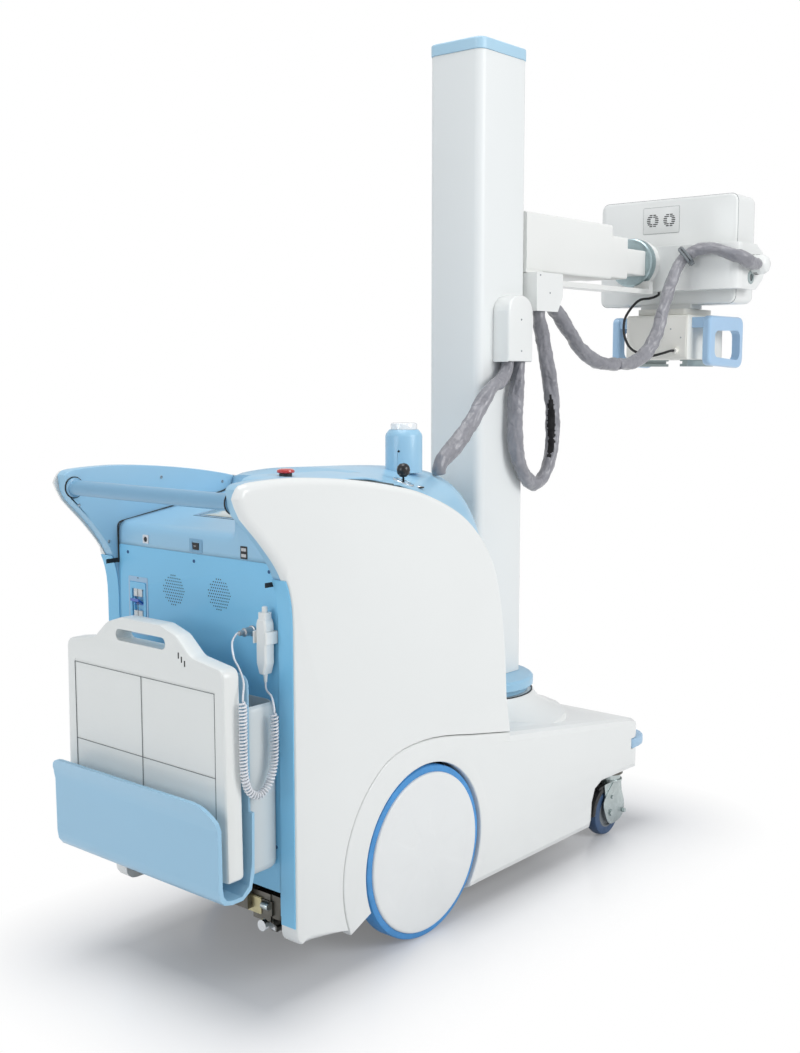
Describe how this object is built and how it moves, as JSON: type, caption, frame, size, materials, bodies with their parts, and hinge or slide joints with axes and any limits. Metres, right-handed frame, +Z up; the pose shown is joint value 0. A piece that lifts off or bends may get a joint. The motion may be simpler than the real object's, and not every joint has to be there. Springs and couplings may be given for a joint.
{
  "type": "mobile radiography unit",
  "caption": "Wheeled X-ray cart with a turning column, telescopic arm, rolling tube head, collimator with grab handles, detector bin and hand switch.",
  "frame": {"origin": "middle of the footprint's bounding box, on the floor", "axes": "+X forward, towards the column and tube head; +Y to the cart's left; +Z up"},
  "size_m": [2.203, 0.6551, 2.02],
  "materials": {
    "white_shell": "satin",
    "blue_shell": "satin",
    "blue_metal": "painted satin",
    "column_metal": "painted satin",
    "trunnion_metal": "satin",
    "collimator_shell": "painted satin",
    "frame_steel": "matt",
    "generator_case": "matt",
    "zinc_steel": "zinc plated",
    "tyre_blue": "matt",
    "caster_tread": "matt",
    "brake_block": "matt",
    "dark_plastic": "satin",
    "toggle_blue": "gloss",
    "stop_red": "gloss",
    "detector_plate": "satin",
    "storage_grey": "satin",
    "connector_metal": "satin",
    "hand_cord": "satin",
    "hose_sleeve": "woven",
    "black_lead": "satin"
  },
  "bodies": {
    "chassis": {"base_frame": "frame_steel", "power_unit": "generator_case", "base_cover": "white_shell", "body_shell": "blue_shell", "side_panel_right": "white_shell", "side_panel_left": "white_shell", "wing_liner_right": "blue_shell", "wing_liner_left": "blue_shell", "rear_panel": "blue_shell", "handle_bar": "blue_metal", "front_bumper": "blue_shell", "beacon_post": "blue_shell", "detector_bin": "blue_shell", "storage_box": "storage_grey", "handset_cradle": "white_shell", "handset_connector": "connector_metal", "handset_lead": "hand_cord", "handset_coil": "hand_cord", "handset_tail": "hand_cord", "body_hose": "hose_sleeve"},
    "wheel_right": {"tyre_right": "tyre_blue", "hub_right": "white_shell"},
    "wheel_left": {"tyre_left": "tyre_blue", "hub_left": "white_shell"},
    "caster_fork_right": {"caster_fork_right": "zinc_steel"},
    "caster_fork_left": {"caster_fork_left": "zinc_steel"},
    "caster_wheel_right": {"caster_wheel_right": "caster_tread"},
    "caster_wheel_left": {"caster_wheel_left": "caster_tread"},
    "caster_brake_right": {"caster_brake_right": "brake_block"},
    "caster_brake_left": {"caster_brake_left": "brake_block"},
    "column": {"turntable": "blue_metal", "column": "column_metal", "column_cap": "blue_shell", "hood_lower": "white_shell", "column_hose": "hose_sleeve"},
    "carriage": {"arm_carriage": "column_metal", "hood_upper": "white_shell", "arm_hose": "hose_sleeve"},
    "arm_middle": {"arm_middle": "column_metal"},
    "arm_tip": {"arm_tip": "column_metal", "trunnion": "trunnion_metal"},
    "head": {"yoke": "white_shell", "housing_back": "white_shell", "housing_front": "white_shell", "cable_terminal": "white_shell", "head_hose": "hose_sleeve", "light_lead": "black_lead"},
    "collimator": {"collimator": "collimator_shell", "collimator_handle_right": "blue_shell", "collimator_handle_left": "blue_shell"},
    "field_knob_right": {"field_knob_right": "dark_plastic"},
    "field_knob_left": {"field_knob_left": "dark_plastic"},
    "breaker_toggle": {"breaker_toggle": "toggle_blue"},
    "power_rocker": {"power_rocker": "dark_plastic"},
    "estop_button": {"estop_button": "stop_red"},
    "drive_lever": {"drive_lever": "dark_plastic"},
    "flat_detector": {"flat_detector": "detector_plate"},
    "handset": {"handset": "white_shell"},
    "handset_button": {"handset_button": "white_shell"},
    "brake_pedal": {"brake_pedal": "zinc_steel"}
  },
  "joints": [
    {"name": "wheel_roll_right", "type": "hinge", "parent": "chassis", "child": "wheel_right", "pos_m": [-0.5105, 0.038, 0.19], "axis": [0, 1, 0], "continuous": true},
    {"name": "caster_swivel_right", "type": "hinge", "parent": "chassis", "child": "caster_fork_right", "pos_m": [0.3205, -0.2045, 0.16], "axis": [0, 0, 1], "continuous": true},
    {"name": "caster_roll_right", "type": "hinge", "parent": "caster_fork_right", "child": "caster_wheel_right", "pos_m": [0.2855, -0.2045, 0.0625], "axis": [0, 1, 0], "continuous": true},
    {"name": "caster_brake_right", "type": "hinge", "parent": "caster_fork_right", "child": "caster_brake_right", "pos_m": [0.2655, -0.2045, 0.138], "axis": [0, 1, 0], "range_deg": [-10, 0]},
    {"name": "wheel_roll_left", "type": "hinge", "parent": "chassis", "child": "wheel_left", "pos_m": [-0.5105, 0.038, 0.19], "axis": [0, 1, 0], "continuous": true},
    {"name": "caster_swivel_left", "type": "hinge", "parent": "chassis", "child": "caster_fork_left", "pos_m": [0.3205, 0.2805, 0.16], "axis": [0, 0, 1], "continuous": true},
    {"name": "caster_roll_left", "type": "hinge", "parent": "caster_fork_left", "child": "caster_wheel_left", "pos_m": [0.2855, 0.2805, 0.0625], "axis": [0, 1, 0], "continuous": true},
    {"name": "caster_brake_left", "type": "hinge", "parent": "caster_fork_left", "child": "caster_brake_left", "pos_m": [0.2655, 0.2805, 0.138], "axis": [0, 1, 0], "range_deg": [-10, 0]},
    {"name": "column_turn", "type": "hinge", "parent": "chassis", "child": "column", "pos_m": [0.037, 0.038, 0.4115], "axis": [0, 0, 1], "range_deg": [-90, 90], "deforming": ["body_hose"]},
    {"name": "arm_lift", "type": "slide", "parent": "column", "child": "carriage", "axis": [0, 0, 1], "range_m": [-0.7, 0.3], "deforming": ["column_hose"]},
    {"name": "arm_extend", "type": "slide", "parent": "carriage", "child": "arm_tip", "axis": [1, 0, 0], "range_m": [-0.12, 0.5], "deforming": ["arm_hose"]},
    {"name": "arm_middle_slide", "type": "slide", "parent": "carriage", "child": "arm_middle", "axis": [1, 0, 0], "range_m": [-0.06, 0.25]},
    {"name": "head_roll", "type": "hinge", "parent": "arm_tip", "child": "head", "pos_m": [0.8125, 0.038, 1.545], "axis": [1, 0, 0], "range_deg": [-90, 90], "deforming": ["head_hose"]},
    {"name": "collimator_swivel", "type": "hinge", "parent": "head", "child": "collimator", "pos_m": [0.9685, -0.0145, 1.3935], "axis": [0, 0, 1], "range_deg": [-90, 90], "deforming": ["light_lead"]},
    {"name": "field_knob_turn_right", "type": "hinge", "parent": "collimator", "child": "field_knob_right", "pos_m": [1.0835, -0.0695, 1.352], "axis": [1, 0, 0], "range_deg": [-150, 150]},
    {"name": "field_knob_turn_left", "type": "hinge", "parent": "collimator", "child": "field_knob_left", "pos_m": [1.0835, 0.0405, 1.352], "axis": [1, 0, 0], "range_deg": [-150, 150]},
    {"name": "brake_pedal_tilt", "type": "hinge", "parent": "chassis", "child": "brake_pedal", "pos_m": [-0.8595, -0.168, 0.122], "axis": [0, 1, 0], "range_deg": [-12, 12]},
    {"name": "estop_press", "type": "slide", "parent": "chassis", "child": "estop_button", "axis": [0, 0, 1], "range_m": [-0.004, 0], "stiffness_N_per_m": 500},
    {"name": "handset_button_press", "type": "slide", "parent": "handset", "child": "handset_button", "axis": [0, 0, 1], "range_m": [-0.004, 0], "stiffness_N_per_m": 300},
    {"name": "drive_lever_tilt", "type": "hinge", "parent": "chassis", "child": "drive_lever", "pos_m": [-0.4895, -0.162, 0.991], "axis": [0, 1, 0], "range_deg": [-20, 20]},
    {"name": "power_rocker_press", "type": "hinge", "parent": "chassis", "child": "power_rocker", "pos_m": [-0.906, 0.03, 0.878], "axis": [0, 1, 0], "range_deg": [0, 8]},
    {"name": "breaker_throw", "type": "hinge", "parent": "chassis", "child": "breaker_toggle", "pos_m": [-0.9065, 0.217, 0.739], "axis": [0, 1, 0], "range_deg": [-60, 0]},
    {"name": "detector_lift", "type": "slide", "parent": "chassis", "child": "flat_detector", "axis": [0, 0, 1], "range_m": [0, 0.2]},
    {"name": "handset_lift", "type": "slide", "parent": "chassis", "child": "handset", "axis": [0, 0, 1], "range_m": [0, 0.05], "deforming": ["handset_tail"]}
  ],
  "couplings": [
    {"joint": "arm_middle_slide", "follows": "arm_extend", "ratio": 0.5}
  ]
}
